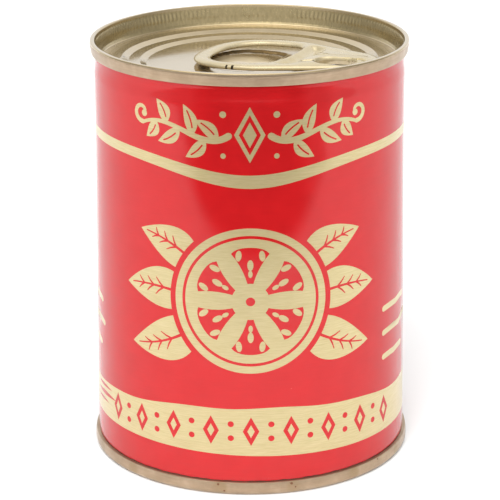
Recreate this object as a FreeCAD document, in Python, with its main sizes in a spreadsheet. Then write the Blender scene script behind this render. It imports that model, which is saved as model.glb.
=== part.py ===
import FreeCAD, Part
import math
import os
import Sketcher

# A small round tin of tomato paste, standing upright.
# Frame: +Z up, the tin's axis is Z, z = 0 is the plane the bottom seam rests on,
# and -Y is the front.  Millimetres.
# The tin is sealed, so its wall and contents are one solid; the two ends are
# seamed on, and the easy-open end carries a riveted pull ring.

os.makedirs("parts", exist_ok=True)
doc = FreeCAD.newDocument("tin")

# ------------------------------------------------------------------ dimensions
CELLS = [
    # whole tin
    ("total_height", 72.0),
    ("body_rad", 26.25),
    # body wall: neck under the top seam, widening slowly to the bottom seam
    ("neck_rad", 26.08),
    ("neck_low_z", 66.6),
    ("neck_high_z", 68.7),
    ("seam_low_z", 69.85),
    ("flare_rad", 26.92),
    ("flare_high_z", 58.0),
    ("base_seam_z", 2.35),
    # contents side of the two ends
    ("fill_high_z", 66.9),
    ("fill_high_rad", 24.9),
    ("fill_wall_rad", 25.98),
    ("fill_low_z", 4.4),
    ("fill_low_rad", 25.2),
    ("fill_foot_rad", 25.9),
    # top seam
    ("rim_out_rad", 26.92),
    ("rim_low_rad", 26.64),
    ("rim_in_rad", 26.12),
    ("rim_round", 0.33),
    # wall inside the rim and the stepped panel
    ("rim_foot_z", 71.3),
    ("wall_top_rad", 26.05),
    ("wall_foot_rad", 25.4),
    ("wall_foot_z", 68.98),
    ("shelf_rad", 24.95),
    ("shelf_z", 68.55),
    ("step_a_rad", 21.6),
    ("step_b_rad", 20.45),
    ("ledge_z", 68.12),
    ("step_c_rad", 18.5),
    ("step_d_rad", 17.55),
    ("panel_z", 67.75),
    ("panel_round", 0.3),
    # dished finger well and the raised boss under the rivet
    ("well_rad", 7.0),
    ("well_deep", 0.55),
    ("well_pos", 0.2),
    ("boss_rad", 3.0),
    ("boss_z", 68.2),
    # bottom end
    ("foot_in_rad", 26.2),
    ("foot_flat_in_rad", 26.45),
    ("foot_flat_out_rad", 27.1),
    ("foot_out_rad", 27.52),
    ("foot_edge_z", 0.45),
    ("foot_side_z", 1.35),
    ("foot_shoulder_rad", 27.40),
    ("foot_shoulder_z", 2.25),
    ("base_wall_rad", 25.35),
    ("base_wall_z", 2.6),
    ("base_shelf_rad", 24.7),
    ("base_bead_a_rad", 19.6),
    ("base_bead_b_rad", 18.7),
    ("base_bead_z", 2.4),
    ("base_bead_c_rad", 14.6),
    ("base_bead_d_rad", 13.7),
    ("base_panel_z", 2.9),
    # pull ring: a flat loop with a narrower nose that reaches the score
    ("ring_heading", -26.4),
    ("ring_tilt", 2.36),
    ("ring_side", 0.3),
    ("ring_z", 69.4),
    ("ring_thick", 1.05),
    ("ring_centre", 2.08),
    ("ring_half_length", 10.88),
    ("ring_half_width", 10.5),
    ("ring_square", 2.4),
    ("nose_tip", 23.2),
    ("nose_rad", 5.12),
    ("ring_round", 0.4),
    # finger hole
    ("hole_centre", 0.7),
    ("hole_half_length", 6.9),
    ("hole_half_width", 7.6),
    ("hole_square", 2.5),
    # opening round the rivet, the tongue in it and the rivet itself
    ("rivet_pos", 17.0),
    ("window_rad", 3.4),
    ("island_rad", 2.8),
    ("island_thick", 0.45),
    ("tongue_half_width", 1.5),
    ("tongue_end", 21.2),
    ("stem_rad", 1.5),
    ("head_rad", 2.6),
    ("head_thick", 0.28),
]
sheet = doc.addObject("Spreadsheet::Sheet", "Dims")
for row, (alias, value) in enumerate(CELLS, start=1):
    sheet.set("A%d" % row, alias)
    sheet.set("B%d" % row, str(value))
    sheet.setAlias("B%d" % row, alias)
doc.recompute()


def val(alias):
    return float(getattr(sheet, alias))


def cell(alias):
    return "Dims." + alias


# ------------------------------------------------------------------ helpers
def plane_of(body, role):
    for feature in body.Origin.OriginFeatures:
        if feature.Role == role:
            return feature
    raise RuntimeError("no plane " + role)


def turned(label, corners):
    """A body turned about Z from a closed outline of (radius, height) cells.
    A radius of None lies on the axis, a height of None on the base plane."""
    body = doc.addObject("PartDesign::Body", label)
    body.Label = label
    sketch = body.newObject("Sketcher::SketchObject", label + "_outline")
    sketch.AttachmentSupport = (plane_of(body, "XZ_Plane"), [""])
    sketch.MapMode = "FlatFace"
    pts = [FreeCAD.Vector(0 if r is None else val(r), 0 if z is None else val(z), 0)
           for r, z in corners]
    n = len(pts)
    for i in range(n):
        sketch.addGeometry(Part.LineSegment(pts[i], pts[(i + 1) % n]), False)
    for i in range(n):
        sketch.addConstraint(Sketcher.Constraint("Coincident", i, 2, (i + 1) % n, 1))
    for i, (r, z) in enumerate(corners):
        if r is None:
            sketch.addConstraint(Sketcher.Constraint("PointOnObject", i, 1, -2))
        else:
            k = sketch.addConstraint(Sketcher.Constraint("DistanceX", -1, 1, i, 1, val(r)))
            sketch.setExpression("Constraints[%d]" % k, cell(r))
        if z is None:
            sketch.addConstraint(Sketcher.Constraint("PointOnObject", i, 1, -1))
        else:
            k = sketch.addConstraint(Sketcher.Constraint("DistanceY", -1, 1, i, 1, val(z)))
            sketch.setExpression("Constraints[%d]" % k, cell(z))
    doc.recompute()
    spin = body.newObject("PartDesign::Revolution", label + "_turned")
    spin.Profile = sketch
    spin.ReferenceAxis = (sketch, ["V_Axis"])
    spin.Angle = 360.0
    spin.Midplane = False
    spin.Reversed = False
    doc.recompute()
    return body


def rounded(body, rings, radius_alias):
    """Rounds the circular edges of a turned body that lie at the given
    (radius, height) cells."""
    base = body.Tip
    names = []
    for i, edge in enumerate(base.Shape.Edges, start=1):
        curve = edge.Curve
        if not isinstance(curve, Part.Circle):
            continue
        for r, z in rings:
            if abs(curve.Radius - val(r)) < 0.005 and abs(curve.Center.z - val(z)) < 0.005:
                names.append("Edge%d" % i)
    if len(names) < len(rings):
        raise RuntimeError("edge not found on " + body.Label)
    fillet = body.newObject("PartDesign::Fillet", body.Label + "_" + radius_alias)
    fillet.Base = (base, names)
    fillet.setExpression("Radius", cell(radius_alias))
    doc.recompute()
    return fillet


# ------------------------------------------------------------------ sealed body
can_body = turned("can_body", [
    (None, "fill_low_z"),
    ("fill_low_rad", "fill_low_z"),
    ("fill_foot_rad", "base_seam_z"),
    ("flare_rad", "base_seam_z"),
    ("body_rad", "flare_high_z"),
    ("body_rad", "neck_low_z"),
    ("neck_rad", "neck_high_z"),
    ("neck_rad", "seam_low_z"),
    ("fill_wall_rad", "seam_low_z"),
    ("fill_high_rad", "fill_high_z"),
    (None, "fill_high_z"),
])

# ------------------------------------------------------------------ easy-open end
lid_plate = turned("lid_plate", [
    (None, "fill_high_z"),
    ("fill_high_rad", "fill_high_z"),
    ("fill_wall_rad", "seam_low_z"),
    ("rim_low_rad", "seam_low_z"),
    ("rim_out_rad", "rim_foot_z"),
    ("rim_out_rad", "total_height"),
    ("rim_in_rad", "total_height"),
    ("wall_top_rad", "rim_foot_z"),
    ("wall_foot_rad", "wall_foot_z"),
    ("shelf_rad", "shelf_z"),
    ("step_a_rad", "shelf_z"),
    ("step_b_rad", "ledge_z"),
    ("step_c_rad", "ledge_z"),
    ("step_d_rad", "panel_z"),
    (None, "panel_z"),
])
rounded(lid_plate, [
    ("rim_out_rad", "total_height"),
    ("rim_in_rad", "total_height"),
], "rim_round")
rounded(lid_plate, [
    ("shelf_rad", "shelf_z"),
    ("wall_foot_rad", "wall_foot_z"),
    ("step_a_rad", "shelf_z"),
    ("step_b_rad", "ledge_z"),
    ("step_c_rad", "ledge_z"),
    ("step_d_rad", "panel_z"),
], "panel_round")

# The finger well is a shallow spherical dish in the panel under the ring's hole.
heading = math.radians(val("ring_heading"))
well_ball = doc.addObject("Part::Sphere", "well_ball")
well_ball.setExpression("Radius", "(Dims.well_rad^2 + Dims.well_deep^2) / (2 * Dims.well_deep)")
ball_rad = (val("well_rad") ** 2 + val("well_deep") ** 2) / (2.0 * val("well_deep"))
well_ball.Placement = FreeCAD.Placement(
    FreeCAD.Vector(val("well_pos") * math.cos(heading), val("well_pos") * math.sin(heading),
                   val("panel_z") - val("well_deep") + ball_rad),
    FreeCAD.Rotation())
# Only the bottom cap of that ball is used, so the rim is left whole.
well_limit = doc.addObject("Part::Cylinder", "well_limit")
well_limit.setExpression("Radius", "Dims.well_rad + 1")
well_limit.setExpression("Height", "2 * Dims.well_deep")
well_limit.Placement = FreeCAD.Placement(
    FreeCAD.Vector(well_ball.Placement.Base.x, well_ball.Placement.Base.y,
                   val("panel_z") - 1.5 * val("well_deep")), FreeCAD.Rotation())
well_tool = doc.addObject("Part::Common", "well_tool")
well_tool.Base = well_ball
well_tool.Tool = well_limit
lid_dished = doc.addObject("Part::Cut", "lid_dished")
lid_dished.Base = lid_plate
lid_dished.Tool = well_tool

boss = doc.addObject("Part::Cone", "rivet_boss")
boss.setExpression("Radius1", "Dims.boss_rad + 0.4")
boss.setExpression("Radius2", cell("boss_rad"))
boss.setExpression("Height", "Dims.boss_z - Dims.panel_z + 0.4")
rivet_at = FreeCAD.Vector(
    val("rivet_pos") * math.cos(heading) - val("ring_side") * math.sin(heading),
    val("rivet_pos") * math.sin(heading) + val("ring_side") * math.cos(heading), 0)
boss.Placement = FreeCAD.Placement(
    FreeCAD.Vector(rivet_at.x, rivet_at.y, val("panel_z") - 0.4), FreeCAD.Rotation())
lid_end = doc.addObject("Part::Fuse", "lid_end")
lid_end.Base = lid_dished
lid_end.Tool = boss
lid_end.Label = "lid_end"

# ------------------------------------------------------------------ bottom end
base_end = turned("base_end", [
    (None, "base_panel_z"),
    ("base_bead_d_rad", "base_panel_z"),
    ("base_bead_c_rad", "base_bead_z"),
    ("base_bead_b_rad", "base_bead_z"),
    ("base_bead_a_rad", "base_panel_z"),
    ("base_shelf_rad", "base_panel_z"),
    ("base_wall_rad", "base_wall_z"),
    ("foot_in_rad", "foot_edge_z"),
    ("foot_flat_in_rad", None),
    ("foot_flat_out_rad", None),
    ("foot_out_rad", "foot_edge_z"),
    ("foot_out_rad", "foot_side_z"),
    ("foot_shoulder_rad", "foot_shoulder_z"),
    ("flare_rad", "base_seam_z"),
    ("fill_foot_rad", "base_seam_z"),
    ("fill_low_rad", "fill_low_z"),
    (None, "fill_low_z"),
])

# ------------------------------------------------------------------ pull ring
# The ring's own frame: x runs from beside the tin's axis towards the nose,
# z = 0 is the top face.  It is turned to its heading and tilted up towards
# the nose.
side_shift = FreeCAD.Vector(-val("ring_side") * math.sin(heading),
                            val("ring_side") * math.cos(heading), 0)
ring_place = FreeCAD.Placement(
    FreeCAD.Vector(0, 0, val("ring_z")) + side_shift,
    FreeCAD.Rotation(FreeCAD.Vector(0, 0, 1), val("ring_heading"))
    * FreeCAD.Rotation(FreeCAD.Vector(0, 1, 0), -val("ring_tilt")))


def squared_oval(centre, half_x, half_y, power, angle):
    """A point of an oval squared off by its power."""
    c, s = math.cos(angle), math.sin(angle)
    return FreeCAD.Vector(
        centre + half_x * math.copysign(abs(c) ** (2.0 / power), c),
        half_y * math.copysign(abs(s) ** (2.0 / power), s), 0)


def ring_point(angle):
    return squared_oval(val("ring_centre"), val("ring_half_length"),
                        val("ring_half_width"), val("ring_square"), angle)


def reach(direction):
    """How far the squared oval reaches in a direction, and where."""
    nx, ny = math.cos(direction), math.sin(direction)
    best = max((ring_point(math.pi * k / 4000.0) for k in range(0, 4001)),
               key=lambda p: p.x * nx + p.y * ny)
    return best.x * nx + best.y * ny, best


def shared_tangent():
    """The direction whose tangent line touches both the oval and the nose."""
    low, high = 0.3, math.pi / 2
    nose_x = val("nose_tip") - val("nose_rad")
    for _ in range(40):
        mid = 0.5 * (low + high)
        if reach(mid)[0] > nose_x * math.cos(mid) + val("nose_rad"):
            high = mid
        else:
            low = mid
    return 0.5 * (low + high)


turn = shared_tangent()
touch = reach(turn)[1]
nose_x = val("nose_tip") - val("nose_rad")
nose_touch = FreeCAD.Vector(nose_x + val("nose_rad") * math.cos(turn),
                            val("nose_rad") * math.sin(turn), 0)


def mirror_y(p):
    return FreeCAD.Vector(p.x, -p.y, 0)


start_angle = min((math.pi * k / 4000.0 for k in range(1, 4000)),
                  key=lambda a: ring_point(a).distanceToPoint(touch))
nose_centre = FreeCAD.Vector(nose_x, 0, 0)
loop_pts = [ring_point(start_angle + (2 * math.pi - 2 * start_angle) * k / 26.0)
            for k in range(27)]
near_side = [mirror_y(touch) + (mirror_y(nose_touch) - mirror_y(touch)) * (k / 5.0)
             for k in range(1, 5)]
nose_pts = [nose_centre + FreeCAD.Vector(math.cos(a), math.sin(a), 0) * val("nose_rad")
            for a in (turn * (k / 4.0) for k in range(-4, 5))]
far_side = [mirror_y(p) for p in reversed(near_side)]
outline_pts = loop_pts + near_side + nose_pts + far_side
outline = Part.BSplineCurve()
outline.interpolate(Points=outline_pts, PeriodicFlag=True)
thick = val("ring_thick")
down = FreeCAD.Vector(0, 0, -thick)
ring_blank = doc.addObject("Part::Feature", "ring_blank")
ring_blank.Shape = Part.Face(Part.Wire([outline.toShape()])).extrude(down)

hole_pts = [squared_oval(val("hole_centre"), val("hole_half_length"), val("hole_half_width"),
                         val("hole_square"), 2 * math.pi * (k + 0.5) / 32) for k in range(32)]
hole_curve = Part.BSplineCurve()
hole_curve.interpolate(Points=hole_pts, PeriodicFlag=True)
finger_hole = doc.addObject("Part::Feature", "finger_hole")
hole_face = Part.Face(Part.Wire([hole_curve.toShape()]))
hole_face.translate(FreeCAD.Vector(0, 0, 0.5))
finger_hole.Shape = hole_face.extrude(FreeCAD.Vector(0, 0, -thick - 1.0))

window = doc.addObject("Part::Cylinder", "rivet_window")
window.setExpression("Radius", cell("window_rad"))
window.setExpression("Height", "Dims.ring_thick + 1")
window.Placement = FreeCAD.Placement(
    FreeCAD.Vector(val("rivet_pos"), 0, -thick - 0.5), FreeCAD.Rotation())

ring_holed = doc.addObject("Part::Cut", "ring_holed")
ring_holed.Base = ring_blank
ring_holed.Tool = finger_hole
ring_cut = doc.addObject("Part::Cut", "ring_cut")
ring_cut.Base = ring_holed
ring_cut.Tool = window
doc.recompute()

# Every edge of the loop is curled, so the top and bottom edges are rounded.
ring_curl = doc.addObject("Part::Fillet", "ring_curl")
ring_curl.Base = ring_cut
curled = []
for i, edge in enumerate(ring_cut.Shape.Edges, start=1):
    box = edge.BoundBox
    if box.ZLength < 1e-4:
        curled.append((i, val("ring_round"), val("ring_round")))
ring_curl.Edges = curled
doc.recompute()

# The island round the rivet lies on the boss, level with the panel, and its
# tongue climbs to the nose.  It is drawn flat in the tin's frame, turned only
# to the heading, and its tongue runs into the nose.
flat_place = FreeCAD.Placement(
    side_shift, FreeCAD.Rotation(FreeCAD.Vector(0, 0, 1), val("ring_heading")))
island_disc = doc.addObject("Part::Cylinder", "island_disc")
island_disc.setExpression("Radius", cell("island_rad"))
island_disc.setExpression("Height", cell("island_thick"))
island_disc.Placement = FreeCAD.Placement(
    FreeCAD.Vector(rivet_at.x, rivet_at.y, val("boss_z")), FreeCAD.Rotation())

low = val("boss_z")
t_isl = val("island_thick")
end_x = val("tongue_end")
tilt = math.radians(val("ring_tilt"))
nose_low = val("ring_z") + end_x * math.tan(tilt) - 0.75 * thick
side_view = [
    (val("rivet_pos") + 0.6 * val("island_rad"), low),
    (val("rivet_pos") + 0.6 * val("island_rad"), low + t_isl),
    (val("rivet_pos") + val("island_rad"), low + t_isl),
    (end_x, nose_low + t_isl),
    (end_x, nose_low),
    (val("rivet_pos") + val("island_rad") + 0.2, low),
]
half = val("tongue_half_width")
tongue_wire = Part.makePolygon(
    [FreeCAD.Vector(x, -half, z) for x, z in side_view + side_view[:1]])
tongue = doc.addObject("Part::Feature", "tongue")
tongue.Shape = Part.Face(tongue_wire).extrude(FreeCAD.Vector(0, 2 * half, 0))
tongue.Placement = flat_place

ring_curl.Placement = ring_place
doc.recompute()
island = doc.addObject("Part::Fuse", "island")
island.Base = island_disc
island.Tool = tongue
ring_whole = doc.addObject("Part::Fuse", "ring_whole")
ring_whole.Base = ring_curl
ring_whole.Tool = island
rivet_hole = doc.addObject("Part::Cylinder", "rivet_hole")
rivet_hole.setExpression("Radius", cell("stem_rad"))
rivet_hole.setExpression("Height", "Dims.island_thick + 1")
rivet_hole.Placement = FreeCAD.Placement(
    FreeCAD.Vector(rivet_at.x, rivet_at.y, low - 0.5), FreeCAD.Rotation())
pull_tab = doc.addObject("Part::Cut", "pull_tab")
pull_tab.Base = ring_whole
pull_tab.Tool = rivet_hole
pull_tab.Label = "pull_tab"

# ------------------------------------------------------------------ rivet
stem = doc.addObject("Part::Cylinder", "rivet_stem")
stem.setExpression("Radius", cell("stem_rad"))
stem.setExpression("Height", cell("island_thick"))
stem.Placement = FreeCAD.Placement(FreeCAD.Vector(rivet_at.x, rivet_at.y, low), FreeCAD.Rotation())
head = doc.addObject("Part::Cone", "rivet_head")
head.setExpression("Radius1", cell("head_rad"))
head.setExpression("Radius2", "Dims.head_rad - 0.35")
head.setExpression("Height", cell("head_thick"))
head.Placement = FreeCAD.Placement(
    FreeCAD.Vector(rivet_at.x, rivet_at.y, low + t_isl), FreeCAD.Rotation())
rivet = doc.addObject("Part::Fuse", "rivet")
rivet.Base = stem
rivet.Tool = head
rivet.Label = "rivet"

doc.recompute()

# ------------------------------------------------------------------ checks and files
for obj in doc.Objects:
    if "Invalid" in obj.State or "Error" in obj.State:
        raise RuntimeError("%s failed: %s" % (obj.Name, obj.State))

NODES = [can_body, lid_end, base_end, pull_tab, rivet]
for obj in NODES:
    shape = obj.Shape
    if shape.isNull() or not shape.isValid():
        raise RuntimeError("%s has no valid shape" % obj.Label)
    if len(shape.Solids) != 1:
        raise RuntimeError("%s has %d solids" % (obj.Label, len(shape.Solids)))
    box = shape.BoundBox
    print("%-10s volume %.1f  x %.2f..%.2f  y %.2f..%.2f  z %.2f..%.2f" % (
        obj.Label, shape.Volume, box.XMin, box.XMax, box.YMin, box.YMax, box.ZMin, box.ZMax))

for obj in NODES:
    obj.Shape.exportStep("parts/%s.step" % obj.Label)
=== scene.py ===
import math

import bpy
import numpy as np
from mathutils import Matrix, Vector
from mathutils.geometry import delaunay_2d_cdt


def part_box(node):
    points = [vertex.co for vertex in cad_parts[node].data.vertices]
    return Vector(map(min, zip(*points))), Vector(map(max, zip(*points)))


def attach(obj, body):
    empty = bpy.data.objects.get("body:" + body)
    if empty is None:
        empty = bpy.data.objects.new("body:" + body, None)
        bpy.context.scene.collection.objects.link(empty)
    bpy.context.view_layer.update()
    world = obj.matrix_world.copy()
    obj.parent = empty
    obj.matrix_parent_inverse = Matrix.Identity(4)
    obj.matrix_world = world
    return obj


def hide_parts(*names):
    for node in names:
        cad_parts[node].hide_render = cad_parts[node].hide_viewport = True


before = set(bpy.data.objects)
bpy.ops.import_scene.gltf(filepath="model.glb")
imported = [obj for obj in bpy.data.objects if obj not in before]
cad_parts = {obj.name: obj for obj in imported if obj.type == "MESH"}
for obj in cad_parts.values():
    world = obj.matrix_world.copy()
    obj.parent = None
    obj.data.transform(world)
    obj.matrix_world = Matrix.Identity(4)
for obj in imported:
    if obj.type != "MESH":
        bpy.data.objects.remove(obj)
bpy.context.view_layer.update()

MM = 0.001
TAU = 2.0 * math.pi

scene = bpy.context.scene
scene.view_settings.view_transform = "Standard"
scene.view_settings.look = "None"
scene.view_settings.exposure = 0.0
scene.view_settings.gamma = 1.0

# ---------------------------------------------------------------- sizes, in mm, from the frame
lid_lo, lid_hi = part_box("lid_end")
base_lo, base_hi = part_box("base_end")
body_lo, body_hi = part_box("can_body")
tab_lo, tab_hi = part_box("pull_tab")
riv_lo, riv_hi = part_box("rivet")
TOP = lid_hi.z / MM                      # rim's top
RIM_R = min(26.92, lid_hi.x / MM)        # over the top seam
SEAM_Z = body_hi.z / MM                  # lower edge of the top seam
FOOT_Z = body_lo.z / MM                  # upper edge of the bottom seam
FLARE_R = 26.92
FOOT_R = base_hi.x / MM
BODY_R = 26.25
RIV = Vector(((riv_lo.x + riv_hi.x) / 2 / MM, (riv_lo.y + riv_hi.y) / 2 / MM, 0))
HEADING = math.radians(-26.4)
TILT = math.radians(2.36)
SIDE = 0.3
RING_Z = 69.4
PANEL_Z, LEDGE_Z, SHELF_Z = TOP - 4.25, TOP - 3.88, TOP - 3.45


# ---------------------------------------------------------------- mesh helpers
def smooth01(t):
    t = np.clip(t, 0.0, 1.0)
    return t * t * (3.0 - 2.0 * t)


def make_object(name, verts, faces, mats, mat_index=None, normals=None):
    """verts in mm; faces a list of index tuples."""
    me = bpy.data.meshes.new(name)
    me.from_pydata((np.asarray(verts, float) * MM).tolist(), [], faces)
    me.validate(clean_customdata=False)
    for m in mats:
        me.materials.append(m)
    if mat_index is not None:
        me.polygons.foreach_set("material_index", np.asarray(mat_index, np.int32))
    me.polygons.foreach_set("use_smooth", np.ones(len(me.polygons), bool))
    me.update()
    if normals is not None:
        me.normals_split_custom_set_from_vertices([tuple(n) for n in normals])
    ob = bpy.data.objects.new(name, me)
    scene.collection.objects.link(ob)
    return ob


def outward(verts, faces):
    """Faces turned so that the closed mesh's volume is positive."""
    v = np.asarray(verts, float)
    vol = 0.0
    for f in faces:
        a = v[f[0]]
        for i in range(1, len(f) - 1):
            vol += np.dot(a, np.cross(v[f[i]], v[f[i + 1]]))
    if vol < 0:
        faces = [tuple(reversed(f)) for f in faces]
    return faces


def rounded_path(corners, steps=5):
    """corners: (r, z, radius). Returns a polyline with each corner rounded."""
    out = []
    n = len(corners)
    for i, (r, z, rad) in enumerate(corners):
        p = np.array([r, z], float)
        if rad <= 0 or i in (0, n - 1):
            out.append(p)
            continue
        a = np.array(corners[i - 1][:2], float) - p
        b = np.array(corners[i + 1][:2], float) - p
        la, lb = np.linalg.norm(a), np.linalg.norm(b)
        a, b = a / la, b / lb
        ang = math.acos(np.clip(np.dot(a, b), -1, 1))
        t = rad / math.tan(ang / 2)
        t = min(t, 0.49 * la, 0.49 * lb)
        rr = t * math.tan(ang / 2)
        bis = (a + b) / np.linalg.norm(a + b)
        c = p + bis * (rr / math.sin(ang / 2))
        p0, p1 = p + a * t, p + b * t
        a0 = math.atan2(*(p0 - c)[::-1])
        a1 = math.atan2(*(p1 - c)[::-1])
        d = (a1 - a0 + math.pi) % TAU - math.pi
        for k in range(steps + 1):
            q = a0 + d * k / steps
            out.append(c + rr * np.array([math.cos(q), math.sin(q)]))
    return np.array(out)


def densify(path, step):
    out = [path[0]]
    for p, q in zip(path[:-1], path[1:]):
        n = max(1, int(math.ceil(np.linalg.norm(q - p) / step)))
        for k in range(1, n + 1):
            out.append(p + (q - p) * k / n)
    return np.array(out)


def revolve(name, path, segs, mats, shape=None, index=None):
    """path: (r, z) rows in mm, from the axis back to the axis. shape(r, z, a)
    gives the moved (r, z) for arrays of the same form."""
    path = np.asarray(path, float)
    n = len(path)
    a = np.arange(segs) * TAU / segs
    r = np.repeat(path[:, 0:1], segs, 1)
    z = np.repeat(path[:, 1:2], segs, 1)
    aa = np.repeat(a[None, :], n, 0)
    if shape is not None:
        r, z = shape(r, z, aa)
    x, y = r * np.cos(aa), r * np.sin(aa)
    grid = np.stack([x, y, z], -1)
    verts, start = [], []
    for i in range(n):
        start.append(len(verts))
        if path[i, 0] < 1e-6:
            verts.append([0.0, 0.0, float(z[i].mean())])
        else:
            verts.extend(grid[i].tolist())
    faces, mi = [], []
    for i in range(n - 1):
        p, q = path[i, 0] < 1e-6, path[i + 1, 0] < 1e-6
        if p and q:
            continue
        m = 0 if index is None else index(0.5 * (path[i] + path[i + 1]))
        for k in range(segs):
            l = (k + 1) % segs
            if p:
                f = (start[i], start[i + 1] + l, start[i + 1] + k)
            elif q:
                f = (start[i] + k, start[i] + l, start[i + 1])
            else:
                f = (start[i] + k, start[i] + l, start[i + 1] + l, start[i + 1] + k)
            faces.append(f)
            mi.append(m)
    # the path's own direction settles which way the faces look
    area = 0.0
    for p, q in zip(path, np.roll(path, -1, 0)):
        area += p[0] * q[1] - q[0] * p[1]
    if area > 0:
        faces = [tuple(reversed(f)) for f in faces]
    return make_object(name, verts, faces, mats, mi)


# ---------------------------------------------------------------- material helpers
class Graph:
    def __init__(self, name):
        self.mat = bpy.data.materials.new(name)
        self.mat.use_nodes = True
        self.tree = self.mat.node_tree
        self.tree.nodes.clear()
        self.out = self.tree.nodes.new("ShaderNodeOutputMaterial")
        self.bsdf = self.tree.nodes.new("ShaderNodeBsdfPrincipled")
        self.link(self.bsdf.outputs[0], self.out.inputs["Surface"])

    def link(self, a, b):
        self.tree.links.new(a, b)

    def put(self, socket, value):
        if isinstance(value, bpy.types.NodeSocket):
            self.link(value, socket)
        elif isinstance(value, (tuple, list)) and len(value) == 3 and socket.type == "RGBA":
            socket.default_value = (*value, 1.0)
        else:
            socket.default_value = value

    def node(self, kind, out=0, inputs=None, **props):
        n = self.tree.nodes.new(kind)
        for k, v in props.items():
            setattr(n, k, v)
        for k, v in (inputs or {}).items():
            self.put(n.inputs[k], v)
        return n.outputs[out]

    def math(self, op, a, b=0.0, c=None, clamp=False):
        ins = {0: a, 1: b}
        if c is not None:
            ins[2] = c
        return self.node("ShaderNodeMath", inputs=ins, operation=op, use_clamp=clamp)

    def coords(self):
        return self.node("ShaderNodeTexCoord", "Object")

    def xyz(self, vec):
        n = self.tree.nodes.new("ShaderNodeSeparateXYZ")
        self.link(vec, n.inputs[0])
        return n.outputs

    def combine(self, x, y, z):
        return self.node("ShaderNodeCombineXYZ", inputs={0: x, 1: y, 2: z})

    def scaled(self, vec, s):
        return self.node("ShaderNodeVectorMath", inputs={0: vec, 1: s}, operation="MULTIPLY")

    def noise(self, vec, scale=1.0, detail=2.0, rough=0.5):
        return self.node("ShaderNodeTexNoise", "Fac",
                         {"Vector": vec, "Scale": scale, "Detail": detail, "Roughness": rough})

    def ramp(self, fac, stops, interp="LINEAR"):
        n = self.tree.nodes.new("ShaderNodeValToRGB")
        n.color_ramp.interpolation = interp
        el = n.color_ramp.elements
        while len(el) < len(stops):
            el.new(0.5)
        for e, (p, c) in zip(el, stops):
            e.position = p
            e.color = (*c, 1.0) if isinstance(c, (tuple, list)) else (c, c, c, 1.0)
        self.put(n.inputs[0], fac)
        return n.outputs[0]

    def span(self, v, lo, hi, to_lo=0.0, to_hi=1.0):
        return self.node("ShaderNodeMapRange", inputs={0: v, 1: lo, 2: hi, 3: to_lo, 4: to_hi})

    def mix(self, fac, a, b, blend="MIX"):
        n = self.tree.nodes.new("ShaderNodeMix")
        n.data_type = "RGBA"
        n.blend_type = blend
        self.put(n.inputs[0], fac)
        self.put(n.inputs[6], a)
        self.put(n.inputs[7], b)
        return n.outputs[2]

    def bump(self, height, dist, strength=1.0, normal=None):
        ins = {"Height": height, "Distance": dist, "Strength": strength}
        if normal is not None:
            ins["Normal"] = normal
        return self.node("ShaderNodeBump", inputs=ins)

    def set(self, **kw):
        for k, v in kw.items():
            self.put(self.bsdf.inputs[k.replace("_", " ")], v)
        return self.mat


def soft_mask(g, co, points):
    """1 at the points (x, y, z, radius in mm), fading smoothly to 0 at the radius."""
    total = None
    for x, y, z, r in points:
        d = g.node("ShaderNodeVectorMath", "Value",
                   {0: co, 1: (x * MM, y * MM, z * MM)}, operation="DISTANCE")
        m = g.node("ShaderNodeMapRange", inputs={0: d, 1: 0.35 * r * MM, 2: r * MM, 3: 1.0, 4: 0.0},
                   interpolation_type="SMOOTHSTEP")
        total = m if total is None else g.math("MAXIMUM", total, m)
    return total


def spot_mask(g, co, points):
    """1 near any of the points (x, y, z, radius in mm), 0 elsewhere, with ragged edges."""
    ragged = g.math("MULTIPLY", g.math("SUBTRACT", g.noise(co, 1400.0, 3.0, 0.6), 0.5), 1.3)
    total = None
    for x, y, z, r in points:
        d = g.node("ShaderNodeVectorMath", "Value",
                   {0: co, 1: (x * MM, y * MM, z * MM)}, operation="DISTANCE")
        d = g.math("ADD", g.math("DIVIDE", d, r * MM), ragged)
        m = g.span(d, 1.15, 0.75)
        total = m if total is None else g.math("MAXIMUM", total, m)
    return total


def grain_noise(g, co, across=55.0, along=3.0, scale=100.0):
    """Noise drawn out sideways round the tin, as rolled sheet shows."""
    v = g.scaled(co, (along, along, across))
    return g.noise(v, scale, 3.0, 0.6)


# ---------------------------------------------------------------- materials
def make_red():
    """Glossy red ink over tinplate: part diffuse, part red-tinted metal."""
    g = Graph("red_print")
    co = g.coords()
    mott = g.noise(co, 260.0, 2.0, 0.5)
    fine = grain_noise(g, co, 30.0, 2.0, 120.0)
    col = g.ramp(mott, [(0.3, (0.512, 0.0074, 0.0095)), (0.7, (0.555, 0.0087, 0.0112))])
    col = g.mix(g.span(fine, 0.30, 0.62, 0.10, 0.0), col, (0.34, 0.005, 0.007))
    # sparse scuffs where the ink is rubbed thin
    scuff = g.noise(g.scaled(co, (1.0, 1.0, 2.6)), 950.0, 4.0, 0.65)
    region = g.noise(co, 60.0, 2.0, 0.5)
    sm = g.math("MULTIPLY", g.span(scuff, 0.735, 0.775), g.span(region, 0.50, 0.60))
    col = g.mix(g.math("MULTIPLY", sm, 0.55), col, (0.82, 0.42, 0.36))
    rough = g.span(mott, 0.3, 0.7, 0.31, 0.37)
    bump = g.bump(fine, 0.00002, 0.20, g.bump(mott, 0.00004, 0.25))
    return g.set(Base_Color=col, Metallic=0.55, Roughness=rough, Specular_IOR_Level=0.0,
                 Specular_Tint=(0.60, 0.10, 0.10),
                 Coat_Weight=1.0, Coat_Roughness=0.07, Coat_IOR=1.5, Normal=bump)


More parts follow.
